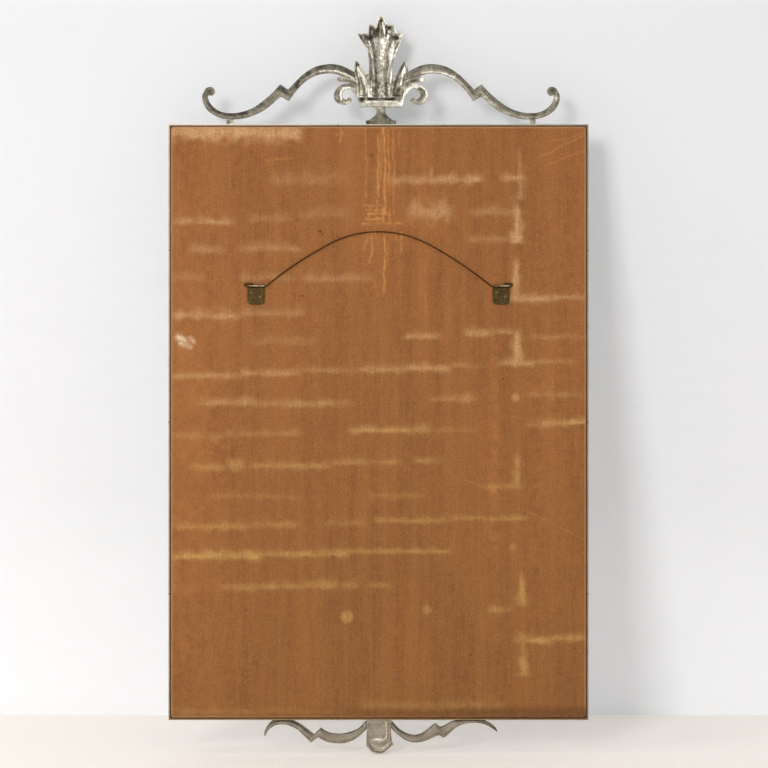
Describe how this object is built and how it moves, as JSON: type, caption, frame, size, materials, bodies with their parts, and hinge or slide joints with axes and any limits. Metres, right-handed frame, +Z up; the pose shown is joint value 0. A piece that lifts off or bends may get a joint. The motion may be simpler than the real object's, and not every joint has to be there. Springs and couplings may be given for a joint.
{
  "type": "wall mirror",
  "caption": "Tall rectangular pewter wall mirror with a palmette crest and scroll arms above, a small leaf apron below, a hardboard back and a hinged hanging wire.",
  "frame": {"origin": "underside of the hanging wire at the middle of its arch, where the wall hook carries it", "axes": "+Z up, +Y towards the wall (the back), -Y towards the viewer (the mirror's face), +X to the right of a person looking into the mirror"},
  "size_m": [0.421, 0.0143, 0.7398],
  "materials": {
    "frame_pewter": "satin, aged pewter",
    "cast_pewter": "cast pewter with dark hollows and worn bright edges",
    "mirror_plate": "silvered plate glass",
    "packing_card": "grey-brown card",
    "hardboard": "hardboard, stained and speckled",
    "steel_pins": "dull steel",
    "aged_brass": "dark olive brass",
    "brass_pins": "dull brass",
    "iron_wire": "dark drawn wire"
  },
  "bodies": {
    "mirror": {"frame_top_rail": "frame_pewter", "frame_bottom_rail": "frame_pewter", "frame_right_stile": "frame_pewter", "frame_left_stile": "frame_pewter", "mirror_glass": "mirror_plate", "packing_card": "packing_card", "back_board": "hardboard", "rim_pins": "steel_pins", "hanger_right": "aged_brass", "hanger_pins_right": "brass_pins", "hanger_left": "aged_brass", "hanger_pins_left": "brass_pins", "crest_palmette": "cast_pewter", "crest_tray": "cast_pewter", "crest_foot": "cast_pewter", "crest_leaf_right": "cast_pewter", "crest_leaf_left": "cast_pewter", "crest_arm_right": "cast_pewter", "crest_arm_left": "cast_pewter", "crest_volute_right": "cast_pewter", "crest_volute_left": "cast_pewter", "crest_peg_right": "cast_pewter", "crest_peg_left": "cast_pewter", "apron_leaf": "cast_pewter", "apron_arm_right": "cast_pewter", "apron_arm_left": "cast_pewter"},
    "wire": {"hanging_wire": "iron_wire"}
  },
  "joints": [
    {"name": "wire_swing", "type": "hinge", "parent": "mirror", "child": "wire", "pos_m": [0, 0, -0.05402], "axis": [-1, 0, 0], "range_deg": [0, 160]}
  ]
}
